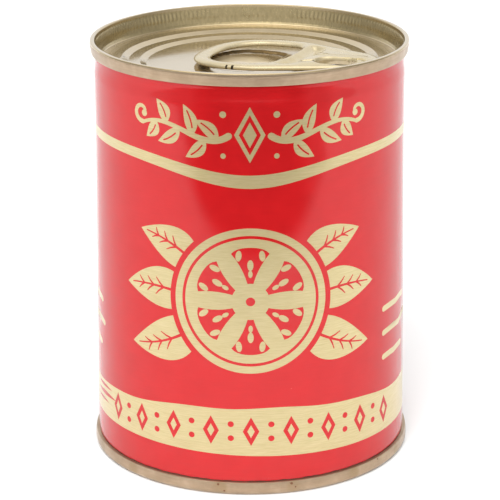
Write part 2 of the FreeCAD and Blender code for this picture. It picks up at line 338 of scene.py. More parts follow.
def make_gold():
    """Bare lacquered tinplate that shows through the print."""
    g = Graph("gold_print")
    co = g.coords()
    grain = grain_noise(g, co, 70.0, 2.2, 140.0)
    fine = grain_noise(g, co, 160.0, 5.0, 160.0)
    both = g.math("ADD", g.math("MULTIPLY", grain, 0.6), g.math("MULTIPLY", fine, 0.4))
    col = g.ramp(both, [(0.34, (0.570, 0.465, 0.226)), (0.50, (0.650, 0.540, 0.282)),
                        (0.66, (0.720, 0.605, 0.335))])
    rough = g.span(both, 0.35, 0.65, 0.44, 0.33)
    bump = g.bump(both, 0.00003, 0.35)
    return g.set(Base_Color=col, Metallic=0.88, Roughness=rough,
                 Coat_Weight=0.6, Coat_Roughness=0.07, Normal=bump)


def make_end():
    """Gold-lacquered easy-open end: smooth sheet with a fine mottle."""
    g = Graph("lacquered_end")
    co = g.coords()
    x, y, z = g.xyz(co)
    mott = g.noise(co, 420.0, 3.0, 0.55)
    roll = g.noise(g.scaled(co, (3.0, 60.0, 3.0)), 90.0, 2.0, 0.5)
    col = g.ramp(mott, [(0.3, (0.560, 0.435, 0.240)), (0.7, (0.620, 0.485, 0.280))])
    col = g.mix(g.span(roll, 0.40, 0.60, 0.0, 0.08), col, (0.47, 0.36, 0.19))
    grime = g.noise(co, 1500.0, 4.0, 0.6)
    col = g.mix(g.span(grime, 0.66, 0.78, 0.0, 0.35), col, (0.40, 0.30, 0.17))
    rough = g.span(mott, 0.3, 0.7, 0.13, 0.18)
    # painted light: the lid is paler over the finger well's bottom, lifting the shade under the ring; it
    # is also rougher there
    well_light = soft_mask(g, co, WELL_LIGHT_POOL)
    rough = g.math("ADD", rough, g.math("MULTIPLY", well_light, 0.30))
    col = g.mix(g.math("MULTIPLY", well_light, 0.80), col, (0.90, 0.76, 0.52))
    dots = spot_mask(g, co, END_DOTS)
    col = g.mix(dots, col, (0.055, 0.045, 0.025))
    bump = g.bump(mott, 0.00003, 0.35, g.bump(roll, 0.00002, 0.25))
    return g.set(Base_Color=col, Metallic=0.90, Roughness=rough,
                 Coat_Weight=1.0, Coat_Roughness=0.08, Normal=bump)


def make_seam():
    """The rolled seams: the same sheet, pressed and rubbed duller."""
    g = Graph("lacquered_seam")
    co = g.coords()
    grain = grain_noise(g, co, 26.0, 1.6, 140.0)
    blot = g.noise(co, 330.0, 4.0, 0.6)
    col = g.ramp(blot, [(0.28, (0.385, 0.278, 0.180)), (0.55, (0.455, 0.335, 0.222)),
                        (0.75, (0.520, 0.390, 0.268))])
    col = g.mix(g.span(grain, 0.36, 0.60, 0.22, 0.0), col, (0.27, 0.18, 0.105))
    speck = g.noise(co, 1700.0, 3.0, 0.6)
    col = g.mix(g.span(speck, 0.68, 0.80, 0.0, 0.55), col, (0.22, 0.12, 0.05))
    stain = g.math("MULTIPLY", soft_mask(g, co, STAINS), g.span(blot, 0.35, 0.65, 0.15, 0.75))
    col = g.mix(stain, col, (0.300, 0.205, 0.085))
    rust = spot_mask(g, co, RUST_SPOTS)
    col = g.mix(rust, col, (0.150, 0.055, 0.020))
    rough = g.span(blot, 0.3, 0.7, 0.40, 0.30)
    rough = g.math("ADD", rough, g.math("MULTIPLY", rust, 0.3))
    metal = g.span(rust, 0.0, 1.0, 0.85, 0.15)
    bump = g.bump(grain, 0.00005, 0.45, g.bump(blot, 0.00007, 0.4))
    return g.set(Base_Color=col, Metallic=metal, Roughness=rough,
                 Coat_Weight=0.2, Coat_Roughness=0.12, Normal=bump)


def make_chuck():
    """The wall inside the rim: a darker, yellower copy of the lid's lacquer that paints in its shade and
    the lid's yellow bounce light, with vertical streaks painted as the knurls' light and shade.
    """
    g = Graph("wall_lacquer_painted_shade")
    co = g.coords()
    mott = g.noise(co, 420.0, 3.0, 0.55)
    # painted light and shade: up-and-down streaks like the knurls catching light, over a darker, yellower
    # copy of the lid colour
    up = g.noise(g.scaled(co, (1.0, 1.0, 0.30)), 2600.0, 3.0, 0.6)
    col = g.ramp(up, [(0.32, (0.445, 0.350, 0.170)), (0.66, (0.560, 0.445, 0.232))])
    col = g.mix(g.span(mott, 0.35, 0.65, 0.0, 0.20), col, (0.48, 0.38, 0.19))
    rough = g.span(mott, 0.3, 0.7, 0.20, 0.28)
    bump = g.bump(up, 0.00005, 0.55, g.bump(mott, 0.00003, 0.35))
    return g.set(Base_Color=col, Metallic=0.90, Roughness=rough,
                 Coat_Weight=0.7, Coat_Roughness=0.12, Normal=bump)


def make_rivet():
    """The rivet's flattened tinplate button. Its colour is painted light: paler and bluer than tin,
    lifting its shade under the ring and cancelling the ring's yellow bounce light.
    """
    g = Graph("rivet_painted_light")
    co = g.coords()
    n = g.noise(co, 700.0, 3.0, 0.6)
    # painted light: pale bluish colour set against the shade and the yellow bounce under the ring
    col = g.ramp(n, [(0.3, (0.58, 0.56, 0.62)), (0.7, (0.68, 0.66, 0.72))])
    rough = g.span(n, 0.3, 0.7, 0.34, 0.44)
    return g.set(Base_Color=col, Metallic=0.15, Roughness=rough, Normal=g.bump(n, 0.00003, 0.3))


def make_crease_shade():
    """Painted shade: the dark line in the crease where the wall meets the bottom seam."""
    g = Graph("seam_crease_shade")
    co = g.coords()
    n = g.noise(co, 900.0, 4.0, 0.65)
    # near-black red: painted shade in the crease
    col = g.ramp(n, [(0.35, (0.045, 0.012, 0.008)), (0.70, (0.150, 0.030, 0.018))])
    return g.set(Base_Color=col, Metallic=0.0, Roughness=0.65, Specular_IOR_Level=0.3)


def make_shade():
    """Painted shade: near-black for the walls of the slits cut in the ring, standing in for the dark
    hollow inside the curl.
    """
    g = Graph("slit_painted_shade")
    co = g.coords()
    n = g.noise(co, 1500.0, 3.0, 0.6)
    col = g.ramp(n, [(0.3, (0.020, 0.014, 0.008)), (0.7, (0.050, 0.036, 0.020))])
    return g.set(Base_Color=col, Metallic=0.2, Roughness=0.6)


def make_ring():
    """The pull ring: thicker sheet with a yellower, glossier lacquer."""
    g = Graph("lacquered_ring")
    co = g.coords()
    mott = g.noise(co, 500.0, 3.0, 0.55)
    col = g.ramp(mott, [(0.3, (0.575, 0.475, 0.285)), (0.7, (0.635, 0.535, 0.335))])
    speck = g.noise(co, 2100.0, 3.0, 0.6)
    col = g.mix(g.span(speck, 0.70, 0.80, 0.0, 0.45), col, (0.30, 0.20, 0.09))
    # painted shade: darker, yellower tint in the web's valley and on the slopes round the rivet opening
    col = g.mix(g.math("MULTIPLY", soft_mask(g, co, WEB_SHADE), 0.75), col, (0.56, 0.43, 0.185))
    # near-black dots: painted shade at the slot ends
    dots = spot_mask(g, co, RING_DOTS_SLIT_SHADE)
    col = g.mix(dots, col, (0.06, 0.04, 0.02))
    rough = g.span(mott, 0.3, 0.7, 0.22, 0.29)
    bump = g.bump(mott, 0.00004, 0.35)
    return g.set(Base_Color=col, Metallic=0.68, Roughness=rough,
                 Coat_Weight=0.4, Coat_Roughness=0.07, Normal=bump)


def make_weld():
    """The bare strip along the side weld at the back."""
    g = Graph("weld_strip")
    co = g.coords()
    n = g.noise(g.scaled(co, (4.0, 4.0, 1.0)), 700.0, 4.0, 0.6)
    col = g.ramp(n, [(0.3, (0.42, 0.37, 0.30)), (0.7, (0.62, 0.56, 0.45))])
    return g.set(Base_Color=col, Metallic=0.85, Roughness=0.38, Normal=g.bump(n, 0.00005, 0.5))


def ring_world(x, y, z=0.0):
    """A point of the pull ring's own frame, in mm, in the tin's frame."""
    c, s = math.cos(TILT), math.sin(TILT)
    xx, zz = x * c - z * s, x * s + z * c
    ch, sh = math.cos(HEADING), math.sin(HEADING)
    yy = y + SIDE
    return (xx * ch - yy * sh, xx * sh + yy * ch, RING_Z + zz)


END_DOTS = [(-21.3, 0.8, 68.4, 0.28), (-17.75, -2.2, 67.95, 0.38), (-17.4, -2.9, 67.9, 0.26),
            (6.0, 17.9, 67.9, 0.22), (-6.0, -19.0, 68.1, 0.25)]
# near-black dots on the ring; those at the ends of the slots are painted shade in the slots' dark openings
RING_DOTS_SLIT_SHADE = [(*ring_world(3.0, 6.9, 0.0), 0.26), (*ring_world(12.2, -5.1, 0.2), 0.40),
             (*ring_world(13.6, -4.25, 0.1), 0.38), (*ring_world(21.7, -1.85, 0.3), 0.22)]


# painted light: a pale pool on the bottom of the finger well, lifting the shade under the ring; and
# painted shade, darker and yellower, in the ring web's valley and on its slopes
WELL_LIGHT_POOL = [(*ring_world(-1.8, -0.6)[:2], PANEL_Z, 7.4)]
# painted shade on the ring's web, in the valley beside the hole and round the rivet opening
WEB_SHADE = [(*ring_world(x, y, 0.4), r) for x, y, r in
          ((10.9, 2.6, 2.0), (10.0, 0.4, 2.0), (9.7, -2.2, 2.0), (9.7, -4.6, 2.0), (13.6, 0.6, 2.4),
           (16.0, 0.8, 2.4), (18.4, 0.6, 2.4), (20.4, -0.2, 2.0))]


def on_wall(theta_deg, z, r):
    t = math.radians(theta_deg)
    return (r * math.sin(t), -r * math.cos(t), z)


RUST_SPOTS = [(*on_wall(-11.6, 1.9, FOOT_R), 0.22), (*on_wall(14.2, 1.9, FOOT_R), 0.26),
              (*on_wall(15.6, 1.2, FOOT_R), 0.16), (*on_wall(-9.4, 0.8, FOOT_R), 0.18),
              (*on_wall(118.0, 1.8, FOOT_R), 0.30), (*on_wall(-143.0, 1.1, FOOT_R), 0.24),
              (*on_wall(52.0, 2.0, FOOT_R), 0.18)]
STAINS = [(*on_wall(a, z, FOOT_R), r) for a, z, r in
          ((-47.0, 1.2, 1.5), (-11.0, 1.3, 1.7), (14.8, 1.3, 1.5), (39.0, 1.4, 1.6), (-70.0, 1.0, 1.8),
           (66.0, 1.2, 1.5), (95.0, 1.2, 1.9), (128.0, 1.4, 1.4), (160.0, 1.1, 1.8), (-103.0, 1.3, 1.5),
           (-150.0, 1.2, 1.9))]

RED, GOLD, END, SEAM, RING, WELD = (make_red(), make_gold(), make_end(), make_seam(),
                                    make_ring(), make_weld())
CHUCK, SHADE, BUTTON = make_chuck(), make_shade(), make_rivet()
CREASE_SHADE = make_crease_shade()


# ---------------------------------------------------------------- the printed wall
# The print is drawn on the unrolled wall: u runs round the tin from the front,
# to the right, and z runs up.  Each shape is a closed outline.
def wall_radius(z):
    z = np.asarray(z, float)
    flare = (FLARE_R - BODY_R) * np.clip((58.0 - z) / (58.0 - FOOT_Z), 0, 1)
    neck = 0.17 * smooth01((z - 66.2) / 2.4)
    lip = 0.05 * smooth01((z - 69.0) / 0.8)
    return BODY_R + flare - neck + lip


GIRTH = TAU * BODY_R
HALF = GIRTH / 2


def u_of(theta_deg):
    return math.radians(theta_deg) * BODY_R


def ellipse(cx, cz, rx, rz, n=40, tilt=0.0):
    t = np.arange(n) * TAU / n
    x, z = rx * np.cos(t), rz * np.sin(t)
    c, s = math.cos(tilt), math.sin(tilt)
    return np.stack([cx + x * c - z * s, cz + x * s + z * c], 1)


def bezier(p0, p1, p2, p3, n=18):
    t = np.linspace(0, 1, n)[:, None]
    p0, p1, p2, p3 = (np.array(p, float) for p in (p0, p1, p2, p3))
    return ((1 - t) ** 3 * p0 + 3 * (1 - t) ** 2 * t * p1 + 3 * (1 - t) * t ** 2 * p2 + t ** 3 * p3)


def stroke(path, width):
    """A closed outline round a path; width is one number or one for each point."""
    path = np.asarray(path, float)
    w = np.broadcast_to(np.asarray(width, float), (len(path),))
    d = np.gradient(path, axis=0)
    d /= np.maximum(np.linalg.norm(d, axis=1, keepdims=True), 1e-9)
    nrm = np.stack([-d[:, 1], d[:, 0]], 1) * (w / 2)[:, None]
    left, right = path + nrm, path - nrm
    caps = []
    for end, dirn, ww in ((path[-1], d[-1], w[-1]), (path[0], -d[0], w[0])):
        a0 = math.atan2(dirn[1], dirn[0])
        caps.append([end + ww / 2 * np.array([math.cos(a0 + q), math.sin(a0 + q)])
                     for q in np.linspace(math.pi / 2, -math.pi / 2, 6)[1:-1]] if ww > 0.08 else [])
    pts = list(left) + caps[0] + list(right[::-1]) + caps[1]
    return np.array(pts)


def leaf(base, tip, width, bend=0.0, n=14):
    """An almond leaf from base to tip, bent to one side."""
    base, tip = np.array(base, float), np.array(tip, float)
    ax = tip - base
    nr = np.array([-ax[1], ax[0]]) / np.linalg.norm(ax)
    t = np.linspace(0, 1, n)
    mid = base + ax * t[:, None] + nr * (bend * 4 * t * (1 - t))[:, None]
    w = width / 2 * np.sin(math.pi * t ** 0.8) ** 0.9
    w[0] = w[-1] = 0
    return np.vstack([mid + nr * w[:, None], (mid - nr * w[:, None])[::-1][1:-1]]), mid


def shifted(poly, du=0.0, dz=0.0, flip=False):
    p = np.array(poly, float)
    if flip:
        p[:, 0] = -p[:, 0]
    p[:, 0] += du
    p[:, 1] += dz
    return p


LAYERS = []                              # (outline, 0 red or 1 gold or 2 weld)


def draw(poly, colour):
    LAYERS.append((np.asarray(poly, float), colour))


def stripe_top(u):
    d = ((np.abs(u) + HALF) % GIRTH) - HALF
    d = np.minimum(np.abs(np.asarray(u)), GIRTH / 2 - np.abs(np.asarray(u)))
    return 58.2 - 2.95 * np.exp(-(d / 13.7) ** 2)


def stripe_low(u):
    d = np.minimum(np.abs(np.asarray(u)), GIRTH / 2 - np.abs(np.asarray(u)))
    return 56.55 - 3.5 * np.exp(-(d / 13.7) ** 2)


def band_top(u):
    u = np.asarray(u, float)
    d = np.where(np.abs(u) > HALF / 2, HALF - np.abs(u), u)
    return 15.35 - 1.75 * smooth01((np.abs(d) - 4.0) / 30.0) + 0.12 * np.sin(d / 2.6)


def band_low(u):
    u = np.asarray(u, float)
    d = np.where(np.abs(u) > HALF / 2, (HALF - np.abs(u)), u)
    return 6.95 - 0.55 * np.sin(d / 17.0)


us = np.linspace(-HALF, HALF, 241)
draw(np.vstack([np.stack([us, stripe_top(us)], 1), np.stack([us, stripe_low(us)], 1)[::-1]]), 1)
draw(np.vstack([np.stack([us, band_top(us)], 1), np.stack([us, band_low(us)], 1)[::-1]]), 1)


def panel(du):
    """The main print, once on the front and once on the back."""
    # --- ornament above the stripe: a lozenge with a leafy spray to each side
    def top_z(u):
        return 62.3 + 0.0 * u

    cz = 61.9
    draw(shifted([(0, cz + 4.6), (2.5, cz), (0, cz - 4.6), (-2.5, cz)], du), 1)
    draw(shifted([(0, cz + 3.3), (1.75, cz), (0, cz - 3.3), (-1.75, cz)], du), 0)
    draw(shifted([(0, cz + 2.1), (1.1, cz), (0, cz - 2.1), (-1.1, cz)], du), 1)
    for flip in (False, True):
        stem = bezier((3.4, cz - 0.2), (8.0, cz - 3.4), (12.5, cz + 3.4), (18.6, cz + 0.7), 34)
        draw(shifted(stroke(stem, np.linspace(1.15, 0.55, 34)), du, 0, flip), 1)
        # curl at the far end
        t = np.linspace(0, 1, 30)
        ang = -1.0 + t * 5.2
        rad = 1.65 * (1 - 0.68 * t)
        c = np.array([18.9, cz + 2.35])
        curl = np.stack([c[0] + rad * np.sin(ang + 0.9), c[1] - rad * np.cos(ang + 0.9)], 1)
        draw(shifted(stroke(curl, np.linspace(0.8, 0.55, 30)), du, 0, flip), 1)
        draw(shifted(ellipse(curl[-1][0], curl[-1][1], 0.55, 0.55, 16), du, 0, flip), 1)
        for k, (i, side, length) in enumerate(((4, 1, 5.0), (9, -1, 4.6), (14, 1, 5.2),
                                               (19, -1, 4.8), (24, 1, 4.2), (28, -1, 3.6))):
            p = stem[i]
            d = stem[i + 1] - stem[i - 1]
            a = math.atan2(d[1], d[0]) + side * math.radians(52)
            tip = p + length * np.array([math.cos(a), math.sin(a)])
            shape, mid = leaf(p, tip, 2.2, 0.45 * side)
            draw(shifted(shape, du, 0, flip), 1)
            draw(shifted(stroke(mid[3:-3], 0.26), du, 0, flip), 0)
        draw(shifted(ellipse(4.3, cz + 3.3, 0.55, 0.55, 16), du, 0, flip), 1)
        draw(shifted(ellipse(4.3, cz - 3.5, 0.45, 0.45, 16), du, 0, flip), 1)
    # --- centre: a round slice of tomato over plain leaves
    sx, sz, sr = 0.0, 34.0, 12.6
    for flip in (False, True):
        for base, tip, w, b in (((8.0, 30.0), (21.6, 24.4), 7.4, -1.2),
                                ((9.0, 34.0), (22.8, 34.6), 7.0, 0.9),
                                ((8.0, 39.0), (19.4, 44.6), 6.4, 1.2)):
            shape, mid = leaf(base, tip, w, b, 22)
            draw(shifted(shape, du, 0, flip), 1)
            draw(shifted(stroke(mid[4:-2], np.linspace(0.55, 0.22, len(mid[4:-2]))), du, 0, flip), 0)
            ax = np.array(tip) - np.array(base)
            nr = np.array([-ax[1], ax[0]]) / np.linalg.norm(ax)
            ax = ax / np.linalg.norm(ax)
            for k in (9, 12, 15):
                for sgn in (1, -1):
                    q = mid[k]
                    e = q + (ax * 1.5 + nr * sgn * 1.45) * (w / 7.0) * (1.0 - 0.045 * (k - 9))
                    draw(shifted(stroke([q, 0.5 * (q + e) + ax * 0.12, e],
                                        [0.34, 0.28, 0.16]), du, 0, flip), 0)
    draw(ellipse(sx + du, sz, sr + 0.95, sr + 0.85, 96), 0)
    draw(ellipse(sx + du, sz, sr, sr - 0.15, 110), 1)
    draw(ellipse(sx + du, sz, sr - 1.25, sr - 1.4, 100), 0)
    draw(ellipse(sx + du, sz, sr - 1.75, sr - 1.9, 100), 1)
    chambers = 6
    for k in range(chambers):
        a = math.pi / 2 + TAU * k / chambers
        pts = []
        half = TAU / chambers / 2 * 0.70
        r_in, r_out = 3.1, sr - 3.4
        for q in np.linspace(-half, half, 12):
            pts.append((r_out * (1 - 0.055 * (q / half) ** 4), a + q))
        for q in np.linspace(1, 0, 6)[1:-1]:
            pts.append((r_in + (r_out - r_in) * q * 0.94, a + half * (0.42 + 0.58 * q)))
        for q in np.linspace(0.42 * half, -0.42 * half, 5):
            pts.append((r_in, a + q))
        for q in np.linspace(0, 1, 6)[1:-1]:
            pts.append((r_in + (r_out - r_in) * q * 0.94, a - half * (0.42 + 0.58 * q)))
        poly = np.array([(sx + r * math.cos(b), sz + r * math.sin(b)) for r, b in pts])
        draw(shifted(poly, du), 0)
        for rr, off, tl in ((8.0, -0.24, 0.35), (8.0, 0.24, -0.35), (6.2, 0.0, 0.0), (4.7, 0.0, 0.0)):
            b = a + off
            seed = ellipse(sx + rr * math.cos(b), sz + rr * math.sin(b), 0.92 if rr > 5 else 0.62,
                           0.50 if rr > 5 else 0.36, 16, b + tl)
            draw(shifted(seed, du), 1)
    draw(ellipse(sx + du, sz, 0.75, 0.75, 20), 0)
    # --- plain lozenges and dots along the band
    for k in range(-4, 5):
        u = k * 6.6
        c = float(0.5 * (band_top(np.array([u])) + band_low(np.array([u])))[0]) + 0.15
        draw(shifted([(u, c + 2.55), (u + 1.35, c), (u, c - 2.55), (u - 1.35, c)], du), 0)
        draw(shifted([(u, c + 1.15), (u + 0.6, c), (u, c - 1.15), (u - 0.6, c)], du), 1)
        if k < 4:
            for dz in (-1.25, 1.25):
                draw(shifted(ellipse(u + 3.3, c + dz - 0.03, 0.52, 0.52, 18), du), 0)
    # tapered strokes where the band thins out at its left end
    for z0, ln, w in ((12.75, 7.5, 0.55), (11.45, 9.0, 0.75), (10.1, 6.0, 0.50)):
        u0 = u_of(-79.0)
        path = bezier((u0, z0 - 0.35), (u0 + ln * 0.3, z0), (u0 + ln * 0.7, z0 + 0.1), (u0 + ln, z0), 12)
        draw(shifted(stroke(path, w * np.sin(np.linspace(0.25, math.pi - 0.02, 12)) + 0.02), du), 0)


def side_rows(theta, rows):
    """Plain bars in place of small print."""
    for z, start, length in rows:
        u0 = u_of(theta) + start
        draw(stroke([(u0, z), (u0 + length * 0.5, z), (u0 + length, z)], 1.05), 1)


LAYERS_FRONT = len(LAYERS)
panel(0.0)
front = LAYERS[LAYERS_FRONT:]
for poly, colour in front:               # the back repeats the front, wrapped at the join
    p = np.array(poly)
    p[:, 0] += HALF
    for shift in (0.0, -GIRTH):
        q = p.copy()
        q[:, 0] += shift
        lo, hi = q[:, 0].min(), q[:, 0].max()
        if hi < -HALF + 1e-6 or lo > HALF - 1e-6:
            continue
        LAYERS.append((q, colour))
side_rows(57.5, ((28.3, 0.0, 9.5), (24.0, 0.0, 13.0), (19.7, 0.0, 8.0)))
side_rows(57.5, ((24.0, 14.6, 4.0),))
side_rows(-97.0, ((24.2, 0.0, 12.5), (20.2, 2.0, 8.5), (28.2, 1.0, 10.5)))
# the side weld runs up the tin half way between the two prints, on the left of the back
WELD_U = u_of(-128.0)
draw([(WELD_U - 1.5, FOOT_Z), (WELD_U + 1.5, FOOT_Z), (WELD_U + 1.5, SEAM_Z), (WELD_U - 1.5, SEAM_Z)], 2)


# a ragged line of painted shade just above the bottom seam, in the crease
crease_u = np.linspace(-HALF, HALF, 331)
crease_z = (FOOT_Z + 0.13 + 0.05 * np.sin(TAU * crease_u / GIRTH * 37 + 0.5)
           + 0.035 * np.sin(TAU * crease_u / GIRTH * 91 + 1.9))
draw(np.vstack([np.stack([crease_u, crease_z], 1), [(HALF, FOOT_Z), (-HALF, FOOT_Z)]]), 3)


def build_wall():
    pts, edges = [], []
    seen = {}

    def add(p):
        key = (round(float(p[0]), 4), round(float(p[1]), 4))
        if key not in seen:
            seen[key] = len(pts)
            pts.append(Vector((key[0], key[1])))
        return seen[key]

    zrows = np.unique(np.round(np.concatenate([
        np.linspace(FOOT_Z, 7.6, 12), np.linspace(7.6, 66.0, 22),
        np.linspace(66.0, SEAM_Z, 14)]), 4))
    ncol = 156
    cols = np.linspace(-HALF, HALF, ncol + 1)
    for u in cols:
        for z in zrows:
            add((u, z))
    # the wall's own border
    for z0, z1 in zip(zrows[:-1], zrows[1:]):
        for u in (cols[0], cols[-1]):
            edges.append((add((u, z0)), add((u, z1))))
    for u0, u1 in zip(cols[:-1], cols[1:]):
        for z in (zrows[0], zrows[-1]):
            edges.append((add((u0, z)), add((u1, z))))
    for poly, _ in LAYERS:
        p = np.array(poly)
        p[:, 0] = np.clip(p[:, 0], -HALF, HALF)
        ids = [add(q) for q in p]
        for a, b in zip(ids, ids[1:] + ids[:1]):
            if a != b:
                edges.append((a, b))
    res = delaunay_2d_cdt(pts, edges, [], 0, 1e-5)
    v2 = np.array([(v.x, v.y) for v in res[0]])
    tris = np.array([f for f in res[2] if len(f) == 3])
    cen = v2[tris].mean(1)
    area = 0.5 * np.abs(np.cross(v2[tris[:, 1]] - v2[tris[:, 0]], v2[tris[:, 2]] - v2[tris[:, 0]]))
    keep = area > 1e-9
    tris, cen = tris[keep], cen[keep]
    colour = np.zeros(len(tris), np.int32)
    for poly, c in LAYERS:
        lo, hi = poly.min(0), poly.max(0)
        idx = np.nonzero((cen[:, 0] >= lo[0]) & (cen[:, 0] <= hi[0])
                         & (cen[:, 1] >= lo[1]) & (cen[:, 1] <= hi[1]))[0]
        if not len(idx):
            continue
        x, z = cen[idx, 0], cen[idx, 1]
        inside = np.zeros(len(idx), bool)
        a = poly
        b = np.roll(poly, -1, 0)
        for (x0, z0), (x1, z1) in zip(a, b):
            if z0 == z1:
                continue
            cross = (z0 > z) != (z1 > z)
            inside ^= cross & (x < (x1 - x0) * (z - z0) / (z1 - z0) + x0)
        colour[idx[inside]] = c
    # wrap round the tin; the two ends of the sheet share their points
    on_join = np.abs(v2[:, 0] - HALF) < 1e-4
    left = {round(float(v2[i, 1]), 3): i for i in np.nonzero(np.abs(v2[:, 0] + HALF) < 1e-4)[0]}
    remap = np.arange(len(v2))
    for i in np.nonzero(on_join)[0]:
        remap[i] = left.get(round(float(v2[i, 1]), 3), i)
    tris = remap[tris]
    th = v2[:, 0] / BODY_R
    r = wall_radius(v2[:, 1])
    weld = 0.05 * np.exp(-((v2[:, 0] - WELD_U) / 0.45) ** 2)
    r = r + weld
    xyz = np.stack([r * np.sin(th), -r * np.cos(th), v2[:, 1]], 1)
    e = 0.02
    slope = (wall_radius(v2[:, 1] + e) - wall_radius(v2[:, 1] - e)) / (2 * e)
    nrm = np.stack([np.sin(th), -np.cos(th), -slope], 1)
    nrm /= np.linalg.norm(nrm, axis=1, keepdims=True)
    # outward faces
    a, b, c = xyz[tris[:, 0]], xyz[tris[:, 1]], xyz[tris[:, 2]]
    fn = np.cross(b - a, c - a)
    flip = (fn * nrm[tris[:, 0]]).sum(1) < 0
    tris[flip] = tris[flip][:, ::-1]
    verts = xyz.tolist()
    normals = nrm.tolist()
    faces = [tuple(int(i) for i in t) for t in tris]
    colours = colour.tolist()
    # hidden closing faces, under the two ends
    for z, path in ((zrows[0], [(25.9, FOOT_Z), (25.2, 4.38), (0.0, 4.38)]),
                    (zrows[-1], [(25.99, SEAM_Z), (24.9, 66.92), (0.0, 66.92)])):
        ring = [i for i in np.unique(remap) if abs(v2[i, 1] - z) < 1e-4]
        ring.sort(key=lambda i: th[i])
        prev = ring
        up = z > 30
        for r1, z1 in path:
            if r1 == 0.0:
                k = len(verts)
                verts.append([0.0, 0.0, z1])
                normals.append([0, 0, 1 if up else -1])
                new = None
            else:
                new = []
                for i in ring:
                    new.append(len(verts))
                    verts.append([r1 * math.sin(th[i]), -r1 * math.cos(th[i]), z1])
                    normals.append([0, 0, 1 if up else -1])
            n = len(prev)
            for j in range(n):
                l = (j + 1) % n
                f = (prev[j], prev[l], k) if new is None else (prev[j], prev[l], new[l], new[j])
                faces.append(f if up else tuple(reversed(f)))
                colours.append(0)
            prev = new
    return make_object("wall_print", verts, faces, [RED, GOLD, WELD, CREASE_SHADE], colours, normals)


wall = build_wall()
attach(wall, "root")
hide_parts("can_body")

# ---------------------------------------------------------------- easy-open end
KNURLS = 200
WELL = (-0.9, 0.0, 6.3, 4.9, 7.65, 0.38)     # centre, half sizes left, right and across, depth


def ring_local(x, y):
    ch, sh = math.cos(HEADING), math.sin(HEADING)
    return ch * x + sh * y, -sh * x + ch * y - SIDE


def end_shape(r, z, a):
    x, y = r * np.cos(a), r * np.sin(a)
    top = z > 67.2
    # knurled wall inside the rim
    k = smooth01((z - 69.75) / 0.45) * smooth01((71.40 - z) / 0.30)
    k = k * ((r > 25.3) & (r < 26.3) & top)
    wave = 0.5 + 0.5 * np.cos(a * KNURLS)
    uneven = 0.80 + 0.12 * np.sin(a * 17.0 + 0.6) + 0.08 * np.sin(a * 41.0 + 2.1)
    r2 = r - 0.150 * k * wave ** 1.5 * uneven
    # dished finger well under the ring's hole
    cx, cy, hl, hr, hy, depth = WELL
    lx, ly = ring_local(x, y)
    left = lx < cx
    p = np.where(left, 2.3, 6.0)
    hx = np.where(left, hl, hr)
    rho = (np.abs((lx - cx) / hx) ** p + np.abs((ly - cy) / hy) ** p) ** (1.0 / p)
    t = 0.78 * smooth01((1.0 - rho) / 0.030) + 0.22 * np.clip(1.0 - rho ** 2, 0, 1)
    t = np.where(rho < 1.0, t, 0.0)
    z2 = z - depth * t * (r < 12) * top
    # raised boss under the rivet
    d = np.hypot(x - RIV.x, y - RIV.y)
    rise = smooth01((3.75 - d) / 0.75)
    goal = 68.2
    z2 = np.where((r < 22) & top, z2 + (goal - z2) * rise * (z2 < goal), z2)
    # very shallow unevenness of pressed sheet
    z2 = z2 + 0.012 * np.sin(3 * a + 0.7) * np.sin(r * 0.55) * (r < 24) * top
    return r2, z2


end_path = rounded_path([
    (0.0, PANEL_Z, 0), (17.45, PANEL_Z, 0.55), (18.5, LEDGE_Z, 0.45), (20.45, LEDGE_Z, 0.8),
    (21.6, SHELF_Z, 0.7), (23.26, SHELF_Z, 0.05), (23.40, SHELF_Z - 0.04, 0.06),
    (23.58, SHELF_Z - 0.04, 0.06), (23.72, SHELF_Z, 0.05), (25.02, SHELF_Z, 0.40),
    (25.42, 69.05, 0.40), (26.02, 71.25, 0.5), (26.10, TOP, 0.26), (RIM_R - 0.03, TOP, 0.25),
    (RIM_R, 71.5, 0.3), (RIM_R - 0.24, 70.05, 0.3), (RIM_R - 0.30, SEAM_Z + 0.01, 0.10),
    (26.1, SEAM_Z + 0.01, 0.0),
    (26.0, SEAM_Z + 0.01, 0.0), (24.9, 66.95, 0), (0.0, 66.95, 0)], 6)
fine = []
for p, q in zip(end_path[:-1], end_path[1:]):
    rr, zz = max(p[0], q[0]), max(p[1], q[1])
    if zz < 67.2:
        step = 99.0
    elif rr < 9.2:
        step = 0.12
    elif rr < 13.0:
        step = 0.8
    elif rr < 21.0:
        step = 0.32
    elif 25.3 < rr < 26.3 and zz > 69.0:
        step = 0.28
    else:
        step = 0.6
    n = max(1, int(math.ceil(np.linalg.norm(q - p) / step)))
    for k in range(n):
        fine.append(p + (q - p) * k / n)
fine.append(end_path[-1])
end_path = np.array(fine)


def end_index(p):
    if p[1] < 68.8 or p[0] < 25.0:
        return 0
    if p[0] > 26.5:
        return 1 if p[1] < 71.74 else 0
    return 2 if p[1] < 71.5 else 0


lid = revolve("lid_sheet", end_path, KNURLS * 4, [END, SEAM, CHUCK], end_shape, end_index)
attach(lid, "root")
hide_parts("lid_end")

# ---------------------------------------------------------------- bottom end
base_path = rounded_path([
    (0.0, 2.9, 0), (13.7, 2.9, 0.5), (14.6, 2.4, 0.5), (18.7, 2.4, 0.5), (19.6, 2.9, 0.5),
    (24.7, 2.9, 0.3), (25.35, 2.6, 0.4), (26.2, 0.45, 0.3), (26.45, 0.0, 0.25), (27.0, 0.0, 0.5),
    (FOOT_R, 0.6, 0.5), (FOOT_R, 1.40, 0.5), (27.40, FOOT_Z - 0.06, 0.13), (26.55, FOOT_Z - 0.02, 0.05),
    (26.40, FOOT_Z - 0.02, 0.0), (25.95, FOOT_Z + 0.03, 0.0), (25.2, 4.35, 0), (0.0, 4.35, 0)], 6)


def base_shape(r, z, a):
    low = z < 3.5
    z2 = z + 0.015 * np.sin(4 * a + 0.4) * np.sin(r * 0.4) * (r < 24) * low
    return r, z2


